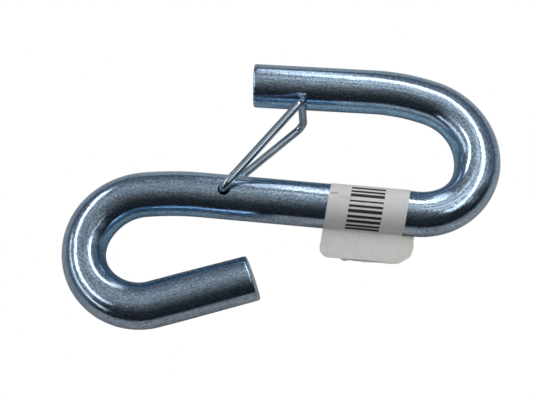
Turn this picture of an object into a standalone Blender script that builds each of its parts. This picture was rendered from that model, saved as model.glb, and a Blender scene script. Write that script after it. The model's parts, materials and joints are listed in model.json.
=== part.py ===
"""Safety chain hook: an S hook that joins a trailer's safety chain to its towing vehicle.

One round bar is bent into a long hook, for the vehicle's loop, and a short hook, for
the chain's last link. A sprung wire latch, whose ends sit in a hole through the shank,
closes the long hook. A paper stock label is folded round the shank.

The hook lies flat. The bar's centreline is in one level plane, the shank runs along X,
the long hook is towards +Y and the short hook towards -Y.
"""

import math

import bmesh
import bpy
from mathutils import Vector

MM = 0.001
GAP = 0.3 * MM

# The bar, 7/16 in steel. Each bend is a chain of arcs, (radius, degrees), read outwards
# from the shank, and each ends in a straight leg. The sheared ends roll over a little.
BAR_DIAMETER = 11.11 * MM
SHANK_LENGTH = 52.8 * MM
LONG_BEND = ((14.1 * MM, 99.2), (16.9 * MM, 65.3), (50.2 * MM, 17.2))
LONG_LEG = 30.1 * MM
SHORT_BEND = ((78.3 * MM, 10.5), (15.6 * MM, 45.2), (13.9 * MM, 145.3))
SHORT_LEG = 24.45 * MM
END_ROLL = 0.8 * MM
END_DROP = 0.3 * MM

# The hole for the latch, measured from the short bend's end of the shank.
HOLE_X = 5.8 * MM
HOLE_DIAMETER = 2.8 * MM
HOLE_CHAMFER = 0.35 * MM

# The latch, spring wire: a leg in front of the bar and a cranked one behind it, joined by a
# cross-bar that leans a little. The legs' heights are from the bar's plane.
WIRE_DIAMETER = 2.0 * MM
FRONT_LEG = 7.2 * MM
REAR_LEG = 7.5 * MM
WIRE_BEND = 1.6 * MM
REAR_BEND = 2.4 * MM
TIP_X = 22.4 * MM
TIP_LEAN = (0.42 * MM, -0.29 * MM)
INNER_END = 1.2 * MM
KNEE = (8.26 * MM, 8.5 * MM)
KNEE_BEND = 4.0 * MM

# The label, folded round the shank with its two ends stuck together below it.
LABEL_WIDTH = 19.2 * MM
LABEL_THICKNESS = 0.2 * MM
LABEL_X = 41.5 * MM
FLAG_LENGTH = 7.3 * MM
FLAG_CORNER = 2.0 * MM
CREASE = 0.6 * MM
LABEL_SKEW = 4.6

ARC_STEP = 6.0
BAR_SIDES = 20
WIRE_SIDES = 12

BAR_RADIUS = BAR_DIAMETER / 2
WIRE_RADIUS = WIRE_DIAMETER / 2


def clear_scene():
    for thing in list(bpy.data.objects):
        bpy.data.objects.remove(thing)


def new_collection(name):
    made = bpy.data.collections.new(name)
    bpy.context.scene.collection.children.link(made)
    return made


def material(name, colour, roughness, metallic):
    made = bpy.data.materials.new(name)
    made.use_nodes = True
    shader = made.node_tree.nodes["Principled BSDF"]
    shader.inputs["Base Color"].default_value = (*colour, 1)
    shader.inputs["Roughness"].default_value = roughness
    shader.inputs["Metallic"].default_value = metallic
    return made


def turned(vector, degrees):
    """A level vector turned about Z, anticlockwise seen from above."""
    angle = math.radians(degrees)
    cosine = math.cos(angle)
    sine = math.sin(angle)
    return Vector((vector.x * cosine - vector.y * sine, vector.x * sine + vector.y * cosine, 0))


def hook_half(start, heading, bend, leg):
    """Centreline points of one hook, after start: its arcs, which all turn left, then its leg."""
    points = []
    for radius, degrees in bend:
        centre = start + radius * turned(heading, 90)
        steps = math.ceil(degrees / ARC_STEP)
        points += [centre + turned(start - centre, degrees * i / steps) for i in range(1, steps + 1)]
        start = points[-1]
        heading = turned(heading, degrees)
    points.append(start + leg * heading)
    return points


def bar_centreline():
    """From the long hook's free end, round its bend, along the shank and round the short hook."""
    near = Vector((0, 0, 0))
    far = Vector((SHANK_LENGTH, 0, 0))
    long_half = hook_half(far, Vector((1, 0, 0)), LONG_BEND, LONG_LEG)
    short_half = hook_half(near, Vector((-1, 0, 0)), SHORT_BEND, SHORT_LEG)
    return long_half[::-1] + [far, near] + short_half


def rounded(corners, bends):
    """A path through the corners in which each inner corner is an arc of the radius that bends gives."""
    points = [corners[0]]
    for before, corner, after, radius in zip(corners, corners[1:], corners[2:], bends):
        arriving = (corner - before).normalized()
        leaving = (after - corner).normalized()
        angle = arriving.angle(leaving)
        start = corner - arriving * radius * math.tan(angle / 2)
        inward = (leaving - arriving * arriving.dot(leaving)).normalized()
        steps = math.ceil(math.degrees(angle) / (2.5 * ARC_STEP))
        for i in range(steps + 1):
            turn = angle * i / steps
            points.append(start + radius * (math.sin(turn) * arriving + (1 - math.cos(turn)) * inward))
    return points + [corners[-1]]


def tube(name, points, radius, sides, roll=0.0, drop=0.0):
    """A round bar or wire along the points. Over the length of roll, each end loses drop from its radius."""
    curve = bpy.data.curves.new(name, "CURVE")
    curve.dimensions = "3D"
    curve.bevel_depth = radius
    curve.bevel_resolution = (sides - 4) // 2
    curve.use_fill_caps = True
    sizes = [1.0] * len(points)
    if roll:
        first = points[0] + roll * (points[1] - points[0]).normalized()
        last = points[-1] + roll * (points[-2] - points[-1]).normalized()
        points = [points[0], first] + points[1:-1] + [last, points[-1]]
        narrow = 1 - drop / radius
        sizes = [narrow] + [1.0] * (len(points) - 2) + [narrow]
    spline = curve.splines.new("POLY")
    spline.points.add(len(points) - 1)
    for node, place, size in zip(spline.points, points, sizes):
        node.co = (*place, 1)
        node.radius = size
    return bpy.data.objects.new(name, curve)


def as_mesh(curve_object, collection):
    """The curve object made a closed mesh, so that it can be cut. The curve is removed."""
    name = curve_object.name
    bpy.context.scene.collection.objects.link(curve_object)
    graph = bpy.context.evaluated_depsgraph_get()
    mesh = bpy.data.meshes.new_from_object(curve_object.evaluated_get(graph))
    caps = bmesh.new()
    caps.from_mesh(mesh)
    bmesh.ops.remove_doubles(caps, verts=caps.verts, dist=0.00001)
    bmesh.ops.recalc_face_normals(caps, faces=caps.faces)
    caps.to_mesh(mesh)
    caps.free()
    made = bpy.data.objects.new(name, mesh)
    made.matrix_world = curve_object.matrix_world.copy()
    bpy.data.objects.remove(curve_object)
    made.name = name
    collection.objects.link(made)
    return made


def hole_cutter(collection):
    """A turned cutter on the hole's axis: the hole, opening out into a chamfer at each face of the bar."""
    hole = HOLE_DIAMETER / 2
    mouth = hole + HOLE_CHAMFER
    beyond = 2 * MM
    upper = [
        (0, BAR_RADIUS + beyond),
        (mouth + beyond, BAR_RADIUS + beyond),
        (mouth, BAR_RADIUS),
        (hole, BAR_RADIUS - HOLE_CHAMFER),
    ]
    profile = upper + [(radius, -height) for radius, height in reversed(upper)]
    mesh = bpy.data.meshes.new("hole_cutter")
    edges = [(i, i + 1) for i in range(len(profile) - 1)]
    mesh.from_pydata([(radius, 0, height) for radius, height in profile], edges, [])
    cutter = bpy.data.objects.new("hole_cutter", mesh)
    collection.objects.link(cutter)
    screw = cutter.modifiers.new("turn", "SCREW")
    screw.steps = 24
    screw.render_steps = 24
    screw.use_merge_vertices = True
    screw.merge_threshold = 0.00001
    cutter.location = (HOLE_X, 0, 0)
    cutter.hide_render = True
    cutter.display_type = "WIRE"
    return cutter


def make_hook_body(collection, cutters):
    bar = tube("hook_body", bar_centreline(), BAR_RADIUS, BAR_SIDES, END_ROLL, END_DROP)
    body = as_mesh(bar, collection)
    cut = body.modifiers.new("latch hole", "BOOLEAN")
    cut.operation = "DIFFERENCE"
    cut.solver = "EXACT"
    cut.object = hole_cutter(cutters)
    body.data.materials.append(material("zinc_plate", (0.52, 0.58, 0.66), 0.28, 1.0))
    body.data.shade_smooth()
    body.data.set_sharp_from_angle(angle=math.radians(35))
    return body


def latch_tip():
    """Front end of the latch's cross-bar: just under the long hook's leg."""
    centreline = bar_centreline()
    end = centreline[0]
    along = (centreline[1] - end).normalized()
    middle = end + along * (TIP_X - end.x) / along.x
    below = (BAR_RADIUS + GAP + WIRE_RADIUS) / along.x
    return Vector((TIP_X, middle.y - below, 0))


def make_latch_wire(collection):
    """The wire, from its end in the front of the hole, round the cross-bar and back into the hole."""
    tip = latch_tip()
    up = Vector((0, 0, 1))
    pivot = Vector((HOLE_X, 0, 0))
    corners = [
        pivot + INNER_END * up,
        pivot + FRONT_LEG * up,
        tip + FRONT_LEG * up,
        tip + Vector((*TIP_LEAN, -REAR_LEG)),
        Vector((*KNEE, -REAR_LEG)),
        pivot - REAR_LEG * up,
        pivot - INNER_END * up,
    ]
    bends = [WIRE_BEND, WIRE_BEND, REAR_BEND, KNEE_BEND, WIRE_BEND]
    points = [point - pivot for point in rounded(corners, bends)]
    wire = tube("latch_wire", points, WIRE_RADIUS, WIRE_SIDES)
    wire.location = pivot
    wire.data.materials.append(material("spring_wire", (0.70, 0.72, 0.74), 0.22, 1.0))
    collection.objects.link(wire)
    return wire


def label_section():
    """(y, z) points of the folded label's inner face: down one flag, round the bar and along the other."""
    radius = BAR_RADIUS + GAP
    inset = CREASE + GAP / 2
    lift = math.asin(inset / (radius + CREASE))
    crease_y = -(radius + CREASE) * math.cos(lift)
    half = [(-radius - FLAG_LENGTH, GAP / 2)]
    for i in range(5):
        turn = (math.pi / 2 - lift) * i / 4
        half.append((crease_y + CREASE * math.sin(turn), inset - CREASE * math.cos(turn)))
    steps = 14
    for i in range(1, steps + 1):
        angle = lift + (math.pi - lift) * i / steps
        half.append((-radius * math.cos(angle), radius * math.sin(angle)))
    return half + [(y, -z) for y, z in half[-2::-1]]


def make_stock_label(collection):
    """A thin strip on the section above. It is wound a little askew, so its two flags don't line up."""
    section = label_section()
    runs = [0.0]
    for (y0, z0), (y1, z1) in zip(section, section[1:]):
        runs.append(runs[-1] + math.hypot(y1 - y0, z1 - z0))
    total = runs[-1]
    rows = [(0.0, section[0])]
    for i in range(1, 5):
        share = i / 4 * FLAG_CORNER / FLAG_LENGTH
        y = section[0][0] + share * (section[1][0] - section[0][0])
        rows.append((share * runs[1], (y, section[0][1])))
    rows += list(zip(runs, section))[1:-1]
    rows += [(total - run, (y, -z)) for run, (y, z) in reversed(rows[:5])]
    mesh = bpy.data.meshes.new("stock_label")
    grid = bmesh.new()
    columns = 6
    lines = []
    for run, (y, z) in rows:
        inside = min(run, total - run, FLAG_CORNER)
        missing = FLAG_CORNER - math.sqrt(FLAG_CORNER**2 - (FLAG_CORNER - inside) ** 2)
        half_width = LABEL_WIDTH / 2 - missing
        middle = LABEL_X + (run - total / 2) * math.tan(math.radians(LABEL_SKEW))
        places = [middle + half_width * (2 * i / columns - 1) for i in range(columns + 1)]
        lines.append([grid.verts.new((x, y, z)) for x in places])
    for first, second in zip(lines, lines[1:]):
        for i in range(columns):
            grid.faces.new((first[i], second[i], second[i + 1], first[i + 1]))
    bmesh.ops.recalc_face_normals(grid, faces=grid.faces)
    grid.to_mesh(mesh)
    grid.free()
    label = bpy.data.objects.new("stock_label", mesh)
    collection.objects.link(label)
    paper = label.modifiers.new("paper", "SOLIDIFY")
    paper.thickness = LABEL_THICKNESS
    paper.offset = 1
    mesh.materials.append(material("label_paper", (0.90, 0.90, 0.88), 0.65, 0.0))
    mesh.shade_smooth()
    mesh.set_sharp_from_angle(angle=math.radians(50))
    return label


def stand_on_ground(root, pieces):
    """Moves the root so that the box round all the pieces stands on z = 0, centred over the origin."""
    bpy.context.view_layer.update()
    graph = bpy.context.evaluated_depsgraph_get()
    points = []
    for piece in pieces:
        evaluated = piece.evaluated_get(graph)
        mesh = evaluated.to_mesh()
        points += [evaluated.matrix_world @ vertex.co for vertex in mesh.vertices]
        evaluated.to_mesh_clear()
    low = [min(point[axis] for point in points) for axis in range(3)]
    high = [max(point[axis] for point in points) for axis in range(3)]
    root.location = (-(low[0] + high[0]) / 2, -(low[1] + high[1]) / 2, -low[2])


def main():
    clear_scene()
    parts = new_collection("safety_chain_hook")
    cutters = new_collection("cutters")
    root = bpy.data.objects.new("hook_frame", None)
    parts.objects.link(root)
    pieces = [make_hook_body(parts, cutters), make_latch_wire(parts), make_stock_label(parts)]
    for child in pieces + list(cutters.objects):
        child.parent = root
    stand_on_ground(root, pieces)


main()
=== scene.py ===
import bisect
import math

import bmesh
import bpy
from mathutils import Matrix, Vector, noise
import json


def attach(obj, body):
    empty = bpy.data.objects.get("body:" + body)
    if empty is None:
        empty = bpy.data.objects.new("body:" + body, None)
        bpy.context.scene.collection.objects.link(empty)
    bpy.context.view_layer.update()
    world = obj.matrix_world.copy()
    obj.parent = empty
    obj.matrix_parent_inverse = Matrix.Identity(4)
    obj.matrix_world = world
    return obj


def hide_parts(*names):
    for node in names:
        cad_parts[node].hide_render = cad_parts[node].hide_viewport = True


# Looks of the safety chain hook: a finer bar, latch wire and paper label in the places that
# the frame gives, with zinc plate, spring wire and paper made by nodes, and a plain studio.

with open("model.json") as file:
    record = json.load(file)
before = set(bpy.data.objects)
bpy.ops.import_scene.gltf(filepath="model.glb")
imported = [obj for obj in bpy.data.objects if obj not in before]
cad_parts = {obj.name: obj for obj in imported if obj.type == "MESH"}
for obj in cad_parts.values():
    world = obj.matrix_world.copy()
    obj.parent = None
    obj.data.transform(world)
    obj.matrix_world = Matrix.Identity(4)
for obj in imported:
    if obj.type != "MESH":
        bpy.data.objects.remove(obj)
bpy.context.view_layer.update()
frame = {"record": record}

MM = 0.001

# The bar's shape, as in the CAD. Each bend is a chain of arcs, (radius, degrees), read
# outwards from the shank.
BAR_RADIUS = 5.555 * MM
SHANK_LENGTH = 52.8 * MM
LONG_BEND = ((14.1 * MM, 99.2), (16.9 * MM, 65.3), (50.2 * MM, 17.2))
LONG_LEG = 30.1 * MM
SHORT_BEND = ((78.3 * MM, 10.5), (15.6 * MM, 45.2), (13.9 * MM, 145.3))
SHORT_LEG = 24.45 * MM
HOLE_X = 5.8 * MM
HOLE_RADIUS = 1.4 * MM
HOLE_CHAMFER = 0.35 * MM
END_ROLL = 0.8 * MM
END_DROP = 0.3 * MM

# What only the visual shows. The shears left each end off square, in degrees to its left and
# upwards. Each bending pin pressed the bar flat on the inside of its bend, at one place also on
# both sides of that, and the metal swelled beside it. Each of these is a smooth bump:
# (run from the long hook's end, half-length, depth or height).
LONG_END_SLANT = (-2.0, 0.0)
SHORT_END_SLANT = (-2.2, -6.0)
PIN_FLATS = ((76.5 * MM, 7 * MM, 0.50 * MM), (181.5 * MM, 8 * MM, 0.48 * MM))
SHOULDERS = ((59 * MM, 7 * MM, 0.28 * MM),)
SWELLS = ((61 * MM, 10 * MM, 0.17 * MM), (169 * MM, 6 * MM, 0.12 * MM), (209 * MM, 14 * MM, 0.15 * MM))

# The latch wire, as in the CAD.
WIRE_RADIUS = 1.0 * MM
FRONT_LEG = 7.2 * MM
REAR_LEG = 7.5 * MM
WIRE_BEND = 1.6 * MM
REAR_BEND = 2.4 * MM
TIP_X = 22.4 * MM
TIP_LEAN = (0.42 * MM, -0.29 * MM)
INNER_END = 1.2 * MM
KNEE = (8.26 * MM, 8.5 * MM)
KNEE_BEND = 4.0 * MM
LATCH_GAP = 0.3 * MM

# The label: the CAD's, but as thin as paper and tight on the bar. Its flags end in corners that
# were cut round, and the one behind is longer and torn:
# (extra length, left radius, right radius, raggedness). The skew is in degrees.
LABEL_WIDTH = 19.2 * MM
LABEL_X = 41.5 * MM
LABEL_SKEW = 4.6
FLAG_LENGTH = 7.3 * MM
CREASE = 0.6 * MM
PAPER = 0.12 * MM
LABEL_SLACK = 0.05 * MM
FLAG_GAP = 0.01 * MM
FRONT_FLAG = (0.0, 2.6 * MM, 2.2 * MM, 0.04 * MM)
REAR_FLAG = (0.3 * MM, 2.6 * MM, 5.6 * MM, 0.3 * MM)
RAG_SIZE = 1.6 * MM

# How the label isn't flat: its flags sag, wave (height, width, phase), are crinkled (height, size)
# and the rear one's right edge is torn (depth, size).
FLAG_SAG = 0.35 * MM
FLAG_WAVE = (0.3 * MM, 4.2 * MM, 0.6)
CRINKLE = (0.05 * MM, 2.5 * MM)
TEAR = (0.3 * MM, 1.3 * MM)

# What is on the label, in millimetres across it from its middle and along it from its front end:
# the block of printed bars, a scuff and a smear, each with the place of its middle.
PRINT_PITCH = 1.3
PRINT_PLACE = (-0.3, 13.8)
PRINT_SIZE = (8.2, 13.0)
SCUFF_PLACE = (-8.4, 17.4)
SCUFF_HALF = (1.2, 0.3)
SMEAR_PLACE = (-5.2, 16.6)
SMEAR_HALF = (2.0, 0.5)

# How fine the meshes are. The wire's arcs have a step in degrees.
BAR_SIDES = 96
BAR_STEP = 0.5 * MM
WIRE_SIDES = 32
WIRE_STEP = 1.5 * MM
WIRE_ARC_STEP = 7
LABEL_ROWS = 240
LABEL_COLUMNS = 56

# The pieces are made about the shank's end, on the bar's centreline. The frame says where that is:
# HOLE_X before the latch's hinge.
pivot = Vector(frame["record"]["behaviour"]["joints"][0]["pos_m"])
origin = pivot - Vector((HOLE_X, 0, 0))
UP = Vector((0, 0, 1))


# ---------------------------------------------------------------- camera


def make_camera():
    """Looks down at 70 degrees, with the shank turned a little clockwise in the picture."""
    turn = Matrix.Rotation(math.radians(6.2), 3, "Z")
    swing = math.radians(2.13)
    tilt = math.radians(20)
    distance = 269.0 * MM
    target = origin + Vector((16.03 * MM, 0.18 * MM, 0))
    away = Vector((math.sin(swing) * math.cos(tilt), -math.sin(tilt), math.cos(swing) * math.cos(tilt)))
    right = Vector((0, 1, 0)).cross(away).normalized()
    rotation = turn @ Matrix((right, away.cross(right), away)).transposed()
    camera = bpy.data.objects.new("camera", bpy.data.cameras.new("camera"))
    bpy.context.scene.collection.objects.link(camera)
    camera.matrix_world = Matrix.Translation(target + turn @ away * distance) @ rotation.to_4x4()
    camera.data.sensor_width = 36
    camera.data.lens = 73.77
    camera.data.clip_start = 0.01
    bpy.context.scene.camera = camera


# ---------------------------------------------------------------- paths


def turned(vector, degrees):
    return Matrix.Rotation(math.radians(degrees), 3, "Z") @ vector


def running_lengths(points):
    """How far each point of a path is from its start, along it."""
    runs = [0.0]
    for a, b in zip(points, points[1:]):
        runs.append(runs[-1] + math.dist(a, b))
    return runs


def straight(start, end, step=BAR_STEP):
    """Points after start, up to and including end."""
    count = max(1, math.ceil((end - start).length / step))
    return [start.lerp(end, i / count) for i in range(1, count + 1)]


def hook_half(start, heading, bend, leg):
    """Centreline points of one hook, after start: its arcs, which all turn left, then its leg."""
    points = []
    for radius, degrees in bend:
        centre = start + radius * turned(heading, 90)
        count = math.ceil(radius * math.radians(degrees) / BAR_STEP)
        points += [centre + turned(start - centre, degrees * i / count) for i in range(1, count + 1)]
        start = points[-1]
        heading = turned(heading, degrees)
    return points + straight(start, start + leg * heading)


def bar_centreline():
    """From the long hook's free end, round its bend, along the shank and round the short hook."""
    near = Vector((0, 0, 0))
    far = Vector((SHANK_LENGTH, 0, 0))
    long_half = hook_half(far, Vector((1, 0, 0)), LONG_BEND, LONG_LEG)
    short_half = hook_half(near, Vector((-1, 0, 0)), SHORT_BEND, SHORT_LEG)
    return long_half[::-1] + [far] + straight(far, near) + short_half


def rounded(corners, bends):
    """A path through the corners in which each inner corner is an arc of the radius that bends gives."""
    points = [corners[0]]
    for before, corner, after, radius in zip(corners, corners[1:], corners[2:], bends):
        arriving = (corner - before).normalized()
        leaving = (after - corner).normalized()
        angle = arriving.angle(leaving)
        start = corner - arriving * radius * math.tan(angle / 2)
        points += straight(points[-1], start, WIRE_STEP)
        inward = (leaving - arriving * arriving.dot(leaving)).normalized()
        count = math.ceil(math.degrees(angle) / WIRE_ARC_STEP)
        for i in range(1, count + 1):
            turn = angle * i / count
            points.append(start + radius * (math.sin(turn) * arriving + (1 - math.cos(turn)) * inward))
    return points + straight(points[-1], corners[-1], WIRE_STEP)


# ---------------------------------------------------------------- meshes


def link(name, mesh):
    made = bpy.data.objects.new(name, mesh)
    bpy.context.scene.collection.objects.link(made)
    return made


def stations(points):
    """The path's points with what the bar round them needs: (point, tangent, side, run, bend). The
    side turns with the path without twisting, and bend is how fast the path turns towards it."""
    last = len(points) - 1
    tangents = [(points[min(i + 1, last)] - points[max(i - 1, 0)]).normalized() for i in range(last + 1)]
    runs = running_lengths(points)
    side = UP.cross(tangents[0])
    if side.length < 0.5:
        side = Vector((1, 0, 0))
    made = []
    for i, (point, tangent) in enumerate(zip(points, tangents)):
        if i:
            side = tangents[i - 1].rotation_difference(tangent) @ side
        side = (side - tangent * side.dot(tangent)).normalized()
        before = max(i - 1, 0)
        after = min(i + 1, last)
        bend = (tangents[after] - tangents[before]).dot(side) / (runs[after] - runs[before])
        made.append((point, tangent, side, runs[i], bend))
    return made


def skin(grid, rings):
    """Closes the rings, (vertices, share of the length, share of the radius), into a skin with the
    UV maps of swept()."""
    run_layer = grid.loops.layers.uv.new("run")
    reach_layer = grid.loops.layers.uv.new("reach")

    def face(corners):
        """A face through corners of (vertex, share of the length, turns, share of the radius)."""
        made = grid.faces.new([corner[0] for corner in corners])
        for loop, (_, run, turns, reach) in zip(made.loops, corners):
            loop[run_layer].uv = (run, turns)
            loop[reach_layer].uv = (reach, 0)

    sides = len(rings[0][0])
    spans = [(i, (i + 1) % sides, i / sides, (i + 1) / sides) for i in range(sides)]
    for (a, run_a, reach_a), (b, run_b, reach_b) in zip(rings, rings[1:]):
        for i, j, start, end in spans:
            near = ((a[i], run_a, start, reach_a), (a[j], run_a, end, reach_a))
            far = ((b[j], run_b, end, reach_b), (b[i], run_b, start, reach_b))
            face(near + far)
    for ring, run, reach in (rings[0], rings[-1]):
        centre = grid.verts.new(sum((vertex.co for vertex in ring), Vector()) / sides)
        for i, j, start, end in spans:
            face(((ring[i], run, start, reach), (ring[j], run, end, reach), (centre, run, start, 0)))


def swept(name, points, sides, radius_at, cap_rings, slants=((0, 0), (0, 0))):
    """A closed bar along the points. radius_at(run, bend, angle) gives its radius, cap_rings the
    (depth, radius share) rings that close each end, and slants how far each of the two ends leans
    along the bar, in degrees to its left and upwards. Its UV map "run" holds the share of the length
    and the turns round the bar, and "reach" the share of the radius. Also returns the length."""
    line = stations(points)
    total = line[-1][3]
    leans = [[math.tan(math.radians(angle)) for angle in slant] for slant in slants]
    cap_room = cap_rings[0][0] + radius_at(0.0, 0.0, 0.0) * max(math.hypot(*lean) for lean in leans)
    grid = bmesh.new()
    rings = []

    def ring(centre, along, across, run, bend, share=1.0, lean=(0, 0)):
        made = []
        for i in range(sides):
            angle = 2 * math.pi * i / sides
            reach = radius_at(run, bend, angle) * share
            left = reach * math.cos(angle)
            above = reach * math.sin(angle)
            place = centre + left * across + above * along.cross(across)
            made.append(grid.verts.new(place + along * (left * lean[0] + above * lean[1])))
        rings.append((made, run / total, share))

    start, tangent, side, _, _ = line[0]
    for depth, share in reversed(cap_rings):
        ring(start + tangent * depth, tangent, side, 0.0, 0.0, share, leans[0])
    for point, tangent, side, run, bend in line[1:-1]:
        if min(run, total - run) > cap_room:
            ring(point, tangent, side, run, bend)
    end, tangent, side, _, _ = line[-1]
    for depth, share in cap_rings:
        ring(end - tangent * depth, tangent, side, total, 0.0, share, leans[1])
    skin(grid, rings)
    bmesh.ops.recalc_face_normals(grid, faces=grid.faces)
    mesh = bpy.data.meshes.new(name)
    grid.to_mesh(mesh)
    grid.free()
    mesh.shade_smooth()
    return link(name, mesh), total


def end_rings(radius, roll, drop, count=5):
    """Rings that roll a sheared end's edge over and close its face, as (depth, radius share)."""
    made = []
    for i in range(count + 1):
        angle = math.pi / 2 * i / count
        made.append((roll * (1 - math.sin(angle)), 1 - drop / radius * (1 - math.cos(angle))))
    return made + [(0.0, share * made[-1][1]) for share in (0.96, 0.8, 0.6, 0.4, 0.2)]


def bumped(run, bumps):
    """The height at a run of a row of smooth bumps: (middle, half-length, height)."""
    return sum(height * math.exp(-(((run - middle) / half) ** 2)) for middle, half, height in bumps)


def bar_radius(run, bend, angle):
    """The bar's radius: pressed in on the inside of each tight bend and swollen beside it."""
    inward = max(0.0, math.cos(angle) * math.copysign(1, bend)) if bend else 0.0
    pressed = bumped(run, PIN_FLATS) * inward**1.5
    pressed += bumped(run, SHOULDERS) * (2 * inward * math.sin(angle)) ** 2
    return BAR_RADIUS + bumped(run, SWELLS) * math.cos(angle) ** 2 - pressed


def hole_cutter():
    """A turned cutter: the hole with a rounded mouth at each face of the bar."""
    top = BAR_RADIUS + 2 * MM
    mouth = BAR_RADIUS + 0.05 * MM
    profile = [(0, top), (HOLE_RADIUS + 2.2 * MM, top)]
    steps = 6
    for i in range(steps + 1):
        angle = math.pi / 2 * i / steps
        out = HOLE_RADIUS + HOLE_CHAMFER * (1 - math.sin(angle))
        profile.append((out, mouth - HOLE_CHAMFER * (1 - math.cos(angle))))
    profile += [(radius, -height) for radius, height in reversed(profile)]
    mesh = bpy.data.meshes.new("hole_cutter")
    mesh.from_pydata([(r, 0, z) for r, z in profile], [(i, i + 1) for i in range(len(profile) - 1)], [])
    cutter = link("hole_cutter", mesh)
    screw = cutter.modifiers.new("turn", "SCREW")
    screw.steps = 64
    screw.render_steps = 64
    screw.use_merge_vertices = True
    screw.merge_threshold = 0.001 * MM
    cutter.location = (HOLE_X, 0, 0)
    return cutter


def apply_modifiers(piece):
    """Replaces a piece's mesh by what its modifiers make of it."""
    graph = bpy.context.evaluated_depsgraph_get()
    mesh = bpy.data.meshes.new_from_object(piece.evaluated_get(graph))
    piece.modifiers.clear()
    piece.data = mesh


def place(piece):
    """Moves a piece made about the shank's end to its place in the frame, in its mesh."""
    piece.data.transform(Matrix.Translation(origin))


def make_bar():
    points = bar_centreline()
    rings = end_rings(BAR_RADIUS, END_ROLL, END_DROP)
    bar, total = swept("bar", points, BAR_SIDES, bar_radius, rings, (LONG_END_SLANT, SHORT_END_SLANT))
    cutter = hole_cutter()
    cut = bar.modifiers.new("hole", "BOOLEAN")
    cut.object = cutter
    cut.solver = "EXACT"
    bpy.context.view_layer.update()
    apply_modifiers(bar)
    bpy.data.objects.remove(cutter)
    bar.data.set_sharp_from_angle(angle=math.radians(40))
    place(bar)
    bar.data.materials.clear()
    bar.data.materials.append(zinc_plate(total))
    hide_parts("hook_body")
    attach(bar, "hook")


def latch_tip():
    """Front end of the latch's cross-bar: just under the long hook's leg."""
    centreline = bar_centreline()
    end = centreline[0]
    along = (centreline[1] - end).normalized()
    middle = end + along * (TIP_X - end.x) / along.x
    return Vector((TIP_X, middle.y - (BAR_RADIUS + LATCH_GAP + WIRE_RADIUS) / along.x, 0))


def make_latch():
    tip = latch_tip()
    hole = Vector((HOLE_X, 0, 0))
    corners = [
        hole + INNER_END * UP,
        hole + FRONT_LEG * UP,
        tip + FRONT_LEG * UP,
        tip + Vector((*TIP_LEAN, -REAR_LEG)),
        Vector((*KNEE, -REAR_LEG)),
        hole - REAR_LEG * UP,
        hole - INNER_END * UP,
    ]
    bends = [WIRE_BEND, WIRE_BEND, REAR_BEND, KNEE_BEND, WIRE_BEND]
    caps = end_rings(WIRE_RADIUS, 0.1 * MM, 0.1 * MM, 3)
    wire, total = swept("latch", rounded(corners, bends), WIRE_SIDES, lambda *_: WIRE_RADIUS, caps)
    wire.data.set_sharp_from_angle(angle=math.radians(50))
    place(wire)
    wire.data.materials.append(spring_wire(total))
    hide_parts("latch_wire")
    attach(wire, "latch")


def label_section():
    """(y, z) points of the label's inner face: along the front flag, round the bar and back along
    the rear flag. A flag lies against the other one."""
    radius = BAR_RADIUS + LABEL_SLACK
    inset = CREASE + FLAG_GAP
    lift = math.asin(inset / (radius + CREASE))
    crease_y = -(radius + CREASE) * math.cos(lift)
    half = [(-radius - FLAG_LENGTH, FLAG_GAP)]
    steps = 8
    for i in range(steps + 1):
        turn = (math.pi / 2 - lift) * i / steps
        half.append((crease_y + CREASE * math.sin(turn), inset - CREASE * math.cos(turn)))
    steps = 40
    for i in range(1, steps + 1):
        angle = lift + (math.pi - lift) * i / steps
        half.append((-radius * math.cos(angle), radius * math.sin(angle)))
    return half + [(y, -z) for y, z in half[-2::-1]]


def section_point(section, runs, run):
    """The section's point at a run, also a little past its ends."""
    i = max(1, min(len(runs) - 1, bisect.bisect_left(runs, run)))
    share = (run - runs[i - 1]) / (runs[i] - runs[i - 1])
    (y0, z0), (y1, z1) = section[i - 1 : i + 1]
    return y0 + share * (y1 - y0), z0 + share * (z1 - z0)


def cut_back(x, flag, seed):
    """How far the label's end is cut back at x, for its round corners and ragged edge."""
    extra, left, right, ragged = flag
    corner = left if x < 0 else right
    inside = min(corner, LABEL_WIDTH / 2 - abs(x))
    cut = corner - math.sqrt(corner**2 - (corner - inside) ** 2)
    return cut - extra + ragged * noise.noise(Vector((x / RAG_SIZE, seed, 0)))


def folded(x, run, section, runs):
    """Where a point of the flat label goes, at x across it and run along it."""
    total = runs[-1]
    y, z = section_point(section, runs, run)
    past = max(0.0, 1 - min(run, total - run) / FLAG_LENGTH)
    height, width, phase = FLAG_WAVE
    sag = height * past * math.sin(x / width + phase) - FLAG_SAG * past**2
    height, size = CRINKLE
    crinkle = height * noise.noise(Vector((x / size, run / size, 1.0))) * min(1, 3 * past)
    torn = 0.0
    if x > 0 and run > total / 2:
        depth, size = TEAR
        torn = depth * noise.noise(Vector((run / size, 5.0, 0))) * (2 * x / LABEL_WIDTH) ** 3
    middle = LABEL_X + (run - total / 2) * math.tan(math.radians(LABEL_SKEW))
    return Vector((middle + x + torn, y, z + sag + crinkle))


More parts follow.
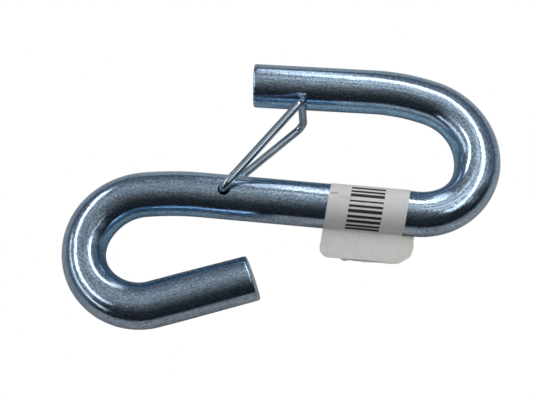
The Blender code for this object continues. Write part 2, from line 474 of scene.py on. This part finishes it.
def label_sheet(section, runs):
    """The label's inner face as a grid, finer towards its sides. Its UV map "sheet" is flat."""
    total = runs[-1]
    grid = bmesh.new()
    layer = grid.loops.layers.uv.new("sheet")
    lines = []
    flat = {}
    for i in range(LABEL_COLUMNS + 1):
        x = -LABEL_WIDTH / 2 * math.cos(math.pi * i / LABEL_COLUMNS)
        start = cut_back(x, FRONT_FLAG, 3.0)
        end = total - cut_back(x, REAR_FLAG, 7.0)
        line = []
        for j in range(LABEL_ROWS + 1):
            run = start + (end - start) * j / LABEL_ROWS
            vertex = grid.verts.new(folded(x, run, section, runs))
            flat[vertex] = (x / LABEL_WIDTH + 0.5, run / total)
            line.append(vertex)
        lines.append(line)
    for first, second in zip(lines, lines[1:]):
        for j in range(LABEL_ROWS):
            face = grid.faces.new((first[j], second[j], second[j + 1], first[j + 1]))
            for loop in face.loops:
                loop[layer].uv = flat[loop.vert]
    mesh = bpy.data.meshes.new("label")
    grid.to_mesh(mesh)
    grid.free()
    mesh.shade_smooth()
    return mesh


def make_label():
    section = label_section()
    runs = running_lengths(section)
    label = link("label", label_sheet(section, runs))
    paper = label.modifiers.new("paper", "SOLIDIFY")
    paper.thickness = PAPER
    paper.offset = 1
    paper.material_offset = 1
    label.data.materials.append(label_paper(runs[-1]))
    label.data.materials.append(label_back())
    bpy.context.view_layer.update()
    apply_modifiers(label)
    label.data.set_sharp_from_angle(angle=math.radians(50))
    place(label)
    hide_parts("stock_label")
    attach(label, "hook")


# ---------------------------------------------------------------- materials


class Nodes:
    """A node tree, with short ways to add nodes to it."""

    def __init__(self, tree):
        self.tree = tree

    def node(self, kind, inputs=None, **settings):
        made = self.tree.nodes.new(kind)
        for key, value in settings.items():
            setattr(made, key, value)
        for key, value in (inputs or {}).items():
            self.feed(made.inputs[key], value)
        return made

    def feed(self, socket, value):
        if isinstance(value, bpy.types.NodeSocket):
            self.tree.links.new(value, socket)
        else:
            socket.default_value = value

    def math(self, operation, a, b=0.0):
        return self.node("ShaderNodeMath", {0: a, 1: b}, operation=operation).outputs[0]

    def uv(self, name):
        return self.node("ShaderNodeUVMap", uv_map=name).outputs["UV"]

    def separate(self, vector):
        return self.node("ShaderNodeSeparateXYZ", {0: vector}).outputs[:]

    def combine(self, x, y, z=0.0):
        return self.node("ShaderNodeCombineXYZ", {0: x, 1: y, 2: z}).outputs[0]

    def scaled(self, vector, scale):
        return self.node("ShaderNodeVectorMath", {0: vector, "Scale": scale}, operation="SCALE").outputs[0]

    def times(self, a, b):
        return self.node("ShaderNodeVectorMath", {0: a, 1: b}, operation="MULTIPLY").outputs[0]

    def noise(self, vector, scale, detail=2.0, roughness=0.5):
        values = {"Vector": vector, "Scale": scale, "Detail": detail, "Roughness": roughness}
        return self.node("ShaderNodeTexNoise", values).outputs["Fac"]

    def remap(self, value, low, high, to_low, to_high, kind="LINEAR"):
        values = {"Value": value, "From Min": low, "From Max": high, "To Min": to_low, "To Max": to_high}
        return self.node("ShaderNodeMapRange", values, interpolation_type=kind).outputs["Result"]

    def mix(self, share, a, b):
        made = self.node("ShaderNodeMix", data_type="RGBA")
        self.feed(made.inputs[0], share)
        self.feed(made.inputs[6], a)
        self.feed(made.inputs[7], b)
        return made.outputs[2]

    def ramp(self, value, stops):
        """A colour that changes with value, through stops of (value, colour)."""
        low = stops[0][0]
        high = stops[-1][0]
        made = self.node("ShaderNodeValToRGB", {0: self.remap(value, low, high, 0, 1)})
        ramp = made.color_ramp
        while len(ramp.elements) < len(stops):
            ramp.elements.new(0.5)
        for element, (at, colour) in zip(ramp.elements, stops):
            element.position = (at - low) / (high - low)
            element.color = (*colour, 1)
        return made.outputs["Color"]

    def ellipse(self, across, along, middle, half):
        """1 at the middle of an ellipse, falling to 0 past its edge."""
        x = self.math("DIVIDE", self.math("SUBTRACT", across, middle[0]), half[0])
        y = self.math("DIVIDE", self.math("SUBTRACT", along, middle[1]), half[1])
        square = self.math("ADD", self.math("MULTIPLY", x, x), self.math("MULTIPLY", y, y))
        return self.remap(square, 0.3, 1.5, 1, 0)

    def bump(self, height, distance, normal=None):
        values = {"Height": height, "Distance": distance}
        if normal:
            values["Normal"] = normal
        return self.node("ShaderNodeBump", values).outputs["Normal"]

    def straightened(self, length, radius, stretch):
        """Where a point would be on a straight bar, in millimetres, shrunk along it by stretch."""
        run, turns, _ = self.separate(self.uv("run"))
        reach, _, _ = self.separate(self.uv("reach"))
        along = self.math("MULTIPLY", run, length / MM / stretch)
        angle = self.math("MULTIPLY", turns, 2 * math.pi)
        out = self.math("MULTIPLY", reach, radius / MM)
        across = self.math("MULTIPLY", self.math("COSINE", angle), out)
        above = self.math("MULTIPLY", self.math("SINE", angle), out)
        return self.combine(along, across, above)


def new_material(name):
    """A Principled material, its nodes and the Principled node's inputs."""
    material = bpy.data.materials.new(name)
    material.use_nodes = True
    return material, Nodes(material.node_tree), material.node_tree.nodes["Principled BSDF"].inputs


def bend_reflection_tint(nodes):
    """Painted reflection: a tint by the place on the bar, bluer low on the inside of each bend, where it
    reflects more of the bar's own blue metal, and warmer outside. The inside changes sides along the shank,
    at about 0.6 of the bar's length."""
    run, turns, _ = nodes.separate(nodes.uv("run"))
    angle = nodes.math("MULTIPLY", turns, 2 * math.pi)
    inner = nodes.math("MULTIPLY", nodes.math("COSINE", angle), nodes.remap(run, 0.57, 0.63, -1, 1))
    low = nodes.remap(nodes.math("SINE", angle), 0.85, 0.35, 0, 1)
    blue = nodes.remap(nodes.math("MULTIPLY", inner, low), -1, 1, 0, 1)
    return nodes.mix(blue, (1.14, 1.0, 0.93, 1), (0.78, 1.0, 1.08, 1))


def zinc_plate(length):
    """Clear blue-white zinc over drawn bar: a sparkling grain, faint lines along the bar, slow changes of
    tint and gloss, a few dull stains, and a painted reflection that makes the bends bluer low inside and
    warmer outside."""
    material, nodes, surface = new_material("zinc_plate")
    grain = nodes.noise(nodes.straightened(length, BAR_RADIUS, 1.4), 2.7, 3.0, 0.7)
    lines = nodes.noise(nodes.straightened(length, BAR_RADIUS, 10.0), 3.2, 3.0, 0.6)
    clouds = nodes.noise(nodes.straightened(length, BAR_RADIUS, 2.5), 0.35, 3.0, 0.55)
    stains = nodes.noise(nodes.straightened(length, BAR_RADIUS, 3.5), 0.6, 4.0, 0.7)
    cloudy = nodes.remap(clouds, 0.35, 0.65, 0, 1)
    tint = nodes.mix(cloudy, (0.43, 0.55, 0.73, 1), (0.50, 0.61, 0.77, 1))
    # Painted reflection: the bends are tinted bluer low on their inside and warmer outside.
    tint = nodes.times(tint, bend_reflection_tint(nodes))
    tint = nodes.mix(nodes.remap(stains, 0.52, 0.7, 0, 0.5), tint, (0.36, 0.41, 0.48, 1))
    grain_shade = nodes.remap(grain, 0.3, 0.7, 0.38, 1.52)
    line_shade = nodes.remap(lines, 0.3, 0.7, 0.76, 1.24)
    nodes.feed(surface["Base Color"], nodes.scaled(tint, nodes.math("MULTIPLY", grain_shade, line_shade)))
    grain_gloss = nodes.remap(grain, 0.3, 0.7, 0.105, 0.2)
    cloud_gloss = nodes.remap(clouds, 0.3, 0.7, 0.03, -0.01)
    nodes.feed(surface["Roughness"], nodes.math("ADD", grain_gloss, cloud_gloss))
    surface["Metallic"].default_value = 1.0
    surface["Specular Tint"].default_value = (0.95, 0.97, 1.0, 1)
    nodes.feed(surface["Normal"], nodes.bump(lines, 0.006 * MM, nodes.bump(grain, 0.011 * MM)))
    return material


def spring_wire(length):
    """Bright drawn wire: fine lines along it and a neutral shine."""
    material, nodes, surface = new_material("spring_wire")
    lines = nodes.noise(nodes.straightened(length, WIRE_RADIUS, 25.0), 5.0, 2.0, 0.5)
    shade = nodes.remap(lines, 0.3, 0.7, 0, 1)
    nodes.feed(surface["Base Color"], nodes.mix(shade, (0.38, 0.46, 0.56, 1), (0.49, 0.57, 0.67, 1)))
    nodes.feed(surface["Roughness"], nodes.remap(lines, 0.3, 0.7, 0.07, 0.14))
    surface["Metallic"].default_value = 1.0
    nodes.feed(surface["Normal"], nodes.bump(lines, 0.006 * MM))
    return material


def front_streaks(nodes, across, along):
    """Faint lines down the label's front flag, which fade on the bar."""
    flag = FLAG_LENGTH / MM
    lines = nodes.noise(nodes.combine(across, nodes.math("MULTIPLY", along, 0.06)), 1.8, 2.0)
    fading = nodes.remap(along, flag, flag + 1, 1, 0.15)
    return nodes.math("MULTIPLY", nodes.remap(lines, 0.5, 0.66, 0, 0.4), fading)


def printed_bars(nodes, across, along):
    """1 where the label is printed: bars of chance widths across a block."""
    bar = nodes.math("DIVIDE", along, PRINT_PITCH)
    chance = nodes.node("ShaderNodeTexWhiteNoise", {"W": nodes.math("FLOOR", bar)}, noise_dimensions="1D")
    share = nodes.remap(chance.outputs["Value"], 0, 1, 0.25, 0.8)
    printed = nodes.math("LESS_THAN", nodes.math("FRACT", bar), share)
    for place_on_label, middle, size in zip((across, along), PRINT_PLACE, PRINT_SIZE):
        distance = nodes.math("ABSOLUTE", nodes.math("SUBTRACT", place_on_label, middle))
        printed = nodes.math("MULTIPLY", printed, nodes.math("LESS_THAN", distance, size / 2))
    return printed


def label_paper(length):
    """White label stock with a block of plain printed bars, a scuff, a smear and a faint mottle."""
    material, nodes, surface = new_material("label_paper")
    x, y, _ = nodes.separate(nodes.uv("sheet"))
    across = nodes.math("MULTIPLY", nodes.math("SUBTRACT", x, 0.5), LABEL_WIDTH / MM)
    along = nodes.math("MULTIPLY", y, length / MM)
    flat = nodes.combine(across, along)
    mottle = nodes.remap(nodes.noise(flat, 0.5, 3.0, 0.6), 0.35, 0.65, 0, 1)
    paper = nodes.mix(mottle, (0.87, 0.86, 0.86, 1), (0.92, 0.905, 0.89, 1))
    paper = nodes.mix(front_streaks(nodes, across, along), paper, (0.76, 0.755, 0.76, 1))
    scuff = nodes.ellipse(across, along, SCUFF_PLACE, SCUFF_HALF)
    worn = nodes.math("MULTIPLY", scuff, nodes.remap(nodes.noise(flat, 2.2, 2.0), 0.4, 0.6, 0.4, 0.9))
    paper = nodes.mix(worn, paper, (0.36, 0.36, 0.38, 1))
    smear = nodes.ellipse(across, along, SMEAR_PLACE, SMEAR_HALF)
    paper = nodes.mix(nodes.math("MULTIPLY", smear, 0.25), paper, (0.5, 0.5, 0.55, 1))
    ink = nodes.mix(nodes.noise(flat, 6.0), (0.02, 0.02, 0.02, 1), (0.06, 0.06, 0.06, 1))
    nodes.feed(surface["Base Color"], nodes.mix(printed_bars(nodes, across, along), paper, ink))
    surface["Roughness"].default_value = 0.6
    surface["Specular IOR Level"].default_value = 0.3
    nodes.feed(surface["Normal"], nodes.bump(nodes.noise(flat, 3.0, 3.0), 0.01 * MM))
    return material


def label_back():
    """The label's gummed side, a little yellow and green."""
    material, _, surface = new_material("label_back")
    surface["Base Color"].default_value = (0.87, 0.88, 0.80, 1)
    surface["Roughness"].default_value = 0.45
    return material


# ---------------------------------------------------------------- studio


# Points in the bar's plane, from the origin: the middle of the lamps round the hook, and what some
# of them face.
STUDIO_MIDDLE = (16 * MM, 0)
LONG_HOOK = (82 * MM, 10 * MM)
SHORT_HOOK = (-24 * MM, -12 * MM)
LATCH = (14 * MM, 12 * MM)

# The room's colours by elevation, in degrees: all round, and on its near side, whose middle is
# NEAR_SWING degrees from -Y towards +X. It starts and is whole at NEAR_EDGES, in degrees from there.
ROOM = (
    (-2, (0.05, 0.06, 0.07)),
    (5, (0.085, 0.15, 0.205)),
    (18, (0.18, 0.18, 0.18)),
    (28, (0.19, 0.205, 0.22)),
    (60, (0.405, 0.425, 0.41)),
    (90, (0.31, 0.32, 0.31)),
)
NEAR_SIDE = (
    (-5, (0.10, 0.14, 0.16)),
    (1, (0.01, 0.012, 0.018)),
    (45, (0.035, 0.037, 0.037)),
    (60, (0.09, 0.092, 0.09)),
    (75, (0.175, 0.175, 0.17)),
    (90, (0.32, 0.33, 0.32)),
)
NEAR_SWING = 20
NEAR_EDGES = (88, 58)

# A dimmer patch overhead: azimuth and elevation, the cosines of its edge, and its brightness.
PATCH = (65, 74)
PATCH_EDGES = (0.93, 0.98)
PATCH_SHADE = 0.7


def toward(azimuth, elevation):
    """A direction by its azimuth, in degrees clockwise from +Y, and its elevation."""
    turn = math.radians(azimuth)
    rise = math.radians(elevation)
    return Vector((math.sin(turn) * math.cos(rise), math.cos(turn) * math.cos(rise), math.sin(rise)))


def lamps(name, radiance, height, corners, aim=STUDIO_MIDDLE, spread=180):
    """A row of flat lamps from corner to corner of a path round the hook: (azimuth, elevation,
    distance). Their height is the angle that they fill across the path, in degrees. They face aim,
    a point in the bar's plane, and light only what is within half the spread, in degrees, of it."""
    places = [toward(azimuth, elevation) * distance for azimuth, elevation, distance in corners]
    half = math.radians(spread / 2)
    share = 1 - half / math.tan(half) if spread < 180 else 1.0
    for first, second in zip(places, places[1:]):
        middle = Vector((*STUDIO_MIDDLE, 0)) + (first + second) / 2
        facing = (middle - Vector((*aim, 0))).normalized()
        along = second - first
        along = (along - facing * along.dot(facing)).normalized()
        light = bpy.data.lights.new(name, "AREA")
        light.shape = "RECTANGLE"
        light.size = (second - first).length
        light.size_y = (first + second).length * math.tan(math.radians(height) / 2)
        light.spread = math.radians(spread)
        light.energy = radiance * share * math.pi * light.size * light.size_y
        lamp = link(light.name, light)
        basis = Matrix((along, facing.cross(along), facing)).transposed()
        lamp.matrix_world = Matrix.Translation(origin + middle) @ basis.to_4x4()


def make_floor():
    """Pale paper. The camera sees it plain white, and the hook reflects it with the shadows on it."""
    bpy.ops.mesh.primitive_plane_add(size=4, location=(0, 0, 0))
    floor = bpy.context.object
    floor.name = "floor"
    material, nodes, surface = new_material("floor_paper")
    surface["Base Color"].default_value = (0.66, 0.70, 0.70, 1)
    surface["Roughness"].default_value = 0.9
    show_white(nodes, material.node_tree.nodes["Principled BSDF"].outputs[0], "ShaderNodeOutputMaterial")
    floor.data.materials.append(material)


def show_white(nodes, seen_by_hook, output_kind):
    """Ends a node tree in plain white for the camera and in another shader for everything else."""
    white = nodes.node("ShaderNodeEmission", {"Color": (1, 1, 1, 1), "Strength": 1.0})
    camera_ray = nodes.node("ShaderNodeLightPath").outputs["Is Camera Ray"]
    either = nodes.node("ShaderNodeMixShader", {0: camera_ray, 1: seen_by_hook, 2: white.outputs[0]})
    output = next(node for node in nodes.tree.nodes if node.bl_idname == output_kind)
    nodes.feed(output.inputs["Surface"], either.outputs[0])


def make_world():
    """White to the camera. The hook sees an even grey room, dark on its near side, with a dimmer
    patch overhead. Below the horizon the floor hides it."""
    world = bpy.data.worlds.new("studio")
    bpy.context.scene.world = world
    world.use_nodes = True
    nodes = Nodes(world.node_tree)
    direction = nodes.node("ShaderNodeTexCoord").outputs["Generated"]
    x, y, z = nodes.separate(direction)
    degrees = 180 / math.pi
    swing = nodes.math("MULTIPLY", nodes.math("ARCTAN2", x, nodes.math("MULTIPLY", y, -1)), degrees)
    rise = nodes.math("MULTIPLY", nodes.math("ARCSINE", z), degrees)
    off_middle = nodes.math("ABSOLUTE", nodes.math("SUBTRACT", swing, NEAR_SWING))
    nearness = nodes.remap(off_middle, *NEAR_EDGES, 0, 1, "SMOOTHSTEP")
    room = nodes.mix(nearness, nodes.ramp(rise, ROOM), nodes.ramp(rise, NEAR_SIDE))
    overhead = nodes.node("ShaderNodeVectorMath", {0: direction, 1: toward(*PATCH)}, operation="DOT_PRODUCT")
    shade = nodes.remap(overhead.outputs["Value"], *PATCH_EDGES, 1, PATCH_SHADE, "SMOOTHSTEP")
    background = world.node_tree.nodes["Background"]
    nodes.feed(background.inputs["Color"], nodes.scaled(room, shade))
    show_white(nodes, background.outputs[0], "ShaderNodeOutputWorld")


def make_left_lamps():
    """A long lamp on the short hook's side, in rows that follow its highlight, over a low one."""
    row = [(-134, 50.5, 0.43), (-126, 49.5, 0.43)]
    lamps("left_lamp", 2.6, 7.5, row, SHORT_HOOK, 22)
    row = [(-126, 49.2, 0.43), (-109, 47.2, 0.43), (-100, 46.8, 0.5)]
    lamps("left_lamp", 3.7, 7.5, row, SHORT_HOOK, 22)
    lamps("left_lamp", 3.5, 7.5, [(-100, 47.3, 0.6), (-90, 47.2, 0.59), (-81, 47, 0.55), (-73, 46.2, 0.55)])
    lamps("left_lamp", 3.5, 7.5, [(-73, 46.2, 0.55), (-64, 42.7, 0.56), (-55, 38.3, 0.51)])
    lamps("left_lamp", 2.8, 7.5, [(-55, 38.3, 0.51), (-47, 31.8, 0.39), (-43.5, 28, 0.35)])
    lamps("left_low_lamp", 2.1, 5, [(-144, 21, 1.3), (-108, 23, 1.3), (-72, 22.5, 1.3)])


def make_right_lamps():
    """A long lamp behind the hook and on the long hook's side, which ends in rows that light only
    the long hook and one that lights only the latch."""
    lamps("right_lamp", 1.2, 9, [(-4, 13, 0.34), (-3, 22, 0.35), (-2, 30, 0.37)])
    lamps("right_lamp", 2.1, 9, [(-2, 31, 0.37), (3, 39.5, 0.374), (12, 44, 0.335)])
    row = [(12, 43.8, 0.335), (22, 46.2, 0.287), (33, 46.9, 0.262), (45, 49.6, 0.32)]
    lamps("right_lamp", 3.2, 9.5, row)
    row = [(45, 49.6, 0.32), (57.5, 51.7, 0.36), (69.4, 52.5, 0.382), (74, 52.9, 0.382)]
    lamps("right_lamp", 3.3, 9.5, row)
    row = [(74, 53.4, 0.377), (91, 53.5, 0.379), (106, 52.7, 0.382)]
    lamps("right_lamp", 3.3, 8.5, row, LONG_HOOK, 27)
    lamps("wire_lamp", 3.0, 8.5, row, LATCH, 14)
    lamps("right_lamp", 3.6, 11, [(106, 52.7, 0.382), (120, 53.5, 0.375)], LONG_HOOK, 27)


def make_glow_lamps():
    """Wide dim lamps below, above and behind the right one, which soften its edges on the long hook."""
    lamps("right_low_lamp", 0.25, 40, [(72, 24, 0.41), (91, 24, 0.41), (112, 24, 0.41)], LONG_HOOK, 18)
    lamps("right_low_lamp", 0.7, 17, [(68, 39, 0.41), (90, 38.8, 0.41), (110, 39, 0.406)], LONG_HOOK, 18)
    lamps("high_lamp", 1.3, 22, [(37.8, 66.8, 0.414), (76.6, 63, 0.425), (110, 62.5, 0.421)], LONG_HOOK, 20)
    lamps("overhead_lamp", 0.45, 17, [(8, 74, 0.41), (45, 77, 0.41), (90, 77, 0.41)], LONG_HOOK, 27)
    lamps("back_lamp", 0.6, 16, [(-10, 62, 0.41), (10, 62, 0.41), (28, 62, 0.41)], LONG_HOOK, 45)


def make_studio():
    make_floor()
    make_world()
    make_left_lamps()
    make_right_lamps()
    make_glow_lamps()
    bpy.context.scene.view_settings.view_transform = "Standard"


make_camera()
make_bar()
make_latch()
make_label()
make_studio()
